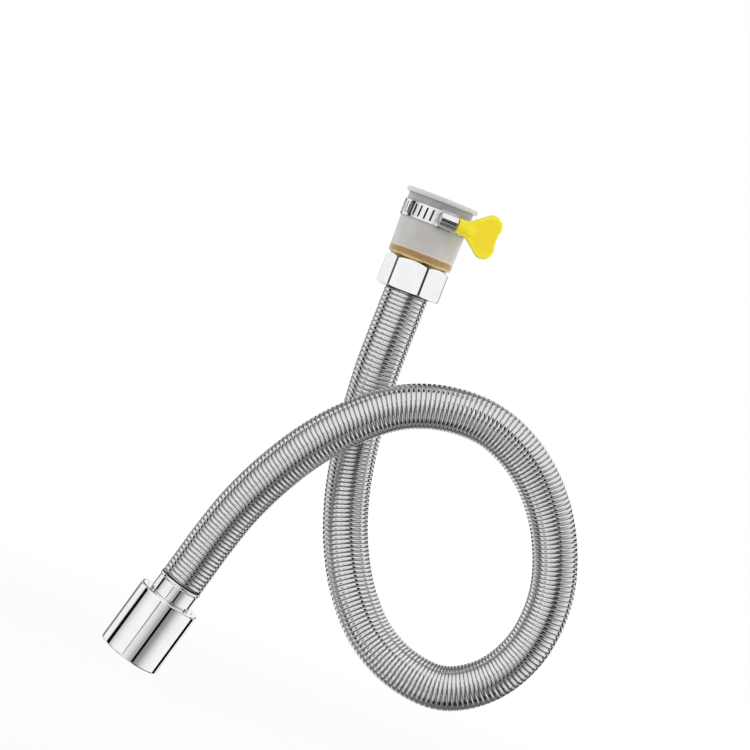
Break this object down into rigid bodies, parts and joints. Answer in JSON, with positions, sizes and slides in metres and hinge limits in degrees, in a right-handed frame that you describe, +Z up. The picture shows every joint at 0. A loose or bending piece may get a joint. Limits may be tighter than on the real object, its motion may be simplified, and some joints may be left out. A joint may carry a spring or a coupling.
{
  "type": "clamp-on bathing hose",
  "caption": "Short armoured hose that clamps onto a tap spout with a soft sleeve and a wing-key band clamp, and ends in a cylindrical aerated outlet head.",
  "frame": {"origin": "centre of the sleeve's mouth, where the tap's spout goes in", "axes": "+Z up the spout's axis, out of the sleeve's mouth; -Y towards the side that carries the clamp's screw; +X towards the wing key"},
  "size_m": [0.1842, 0.0467, 0.2367],
  "materials": {
    "soft_sleeve": "satin translucent silicone",
    "black_rubber": "matte",
    "brass": "turned",
    "clamp_steel": "bright rolled strip",
    "screw_steel": "zinc plated",
    "yellow_plastic": "moulded satin",
    "nut_chrome": "bright plated",
    "white_plastic": "moulded",
    "tube_rubber": "smooth",
    "armour_steel": "polished wound strip",
    "outlet_chrome": "polished"
  },
  "bodies": {
    "adapter": {"tap_sleeve": "soft_sleeve", "spout_gasket": "black_rubber", "threaded_insert": "brass", "clamp_band": "clamp_steel", "screw_housing": "clamp_steel"},
    "clamp_screw": {"worm_screw": "screw_steel", "wing_key": "yellow_plastic"},
    "hose": {"nut_washer": "black_rubber", "slip_ring": "white_plastic", "tailpiece_top": "brass", "ferrule_top": "screw_steel", "inner_tube": "tube_rubber", "hose_armour": "armour_steel", "ferrule_bottom": "outlet_chrome", "tailpiece_bottom": "outlet_chrome"},
    "nut": {"union_nut": "nut_chrome"},
    "cartridge": {"outlet_gasket": "black_rubber", "jet_plate": "white_plastic", "aerator_cartridge": "white_plastic", "outlet_screen": "screw_steel"},
    "collar": {"outlet_collar": "outlet_chrome"}
  },
  "joints": [
    {"name": "screw_turn", "type": "hinge", "parent": "adapter", "child": "clamp_screw", "pos_m": [0.00518, -0.01807, -0.0091], "axis": [0.9613, 0.2756, 0], "range_deg": [-450, 1584]},
    {"name": "hose_withdraw", "type": "slide", "parent": "adapter", "child": "hose", "axis": [0, 0, -1], "range_m": [0, 0.00635]},
    {"name": "nut_turn", "type": "hinge", "parent": "hose", "child": "nut", "pos_m": [0, 0, -0.036], "axis": [0, 0, -1], "range_deg": [0, 1261]},
    {"name": "cartridge_slide", "type": "slide", "parent": "hose", "child": "cartridge", "axis": [-0.2569, 0.1219, -0.9587], "range_m": [0, 0.008]},
    {"name": "collar_turn", "type": "hinge", "parent": "cartridge", "child": "collar", "pos_m": [-0.045, -0.0025, -0.1945], "axis": [-0.2569, 0.1219, -0.9587], "range_deg": [0, 2881]}
  ],
  "couplings": [
    {"joint": "nut_turn", "follows": "hose_withdraw", "rad_per_m": 3463.7},
    {"joint": "collar_turn", "follows": "cartridge_slide", "rad_per_m": 6283.2}
  ]
}
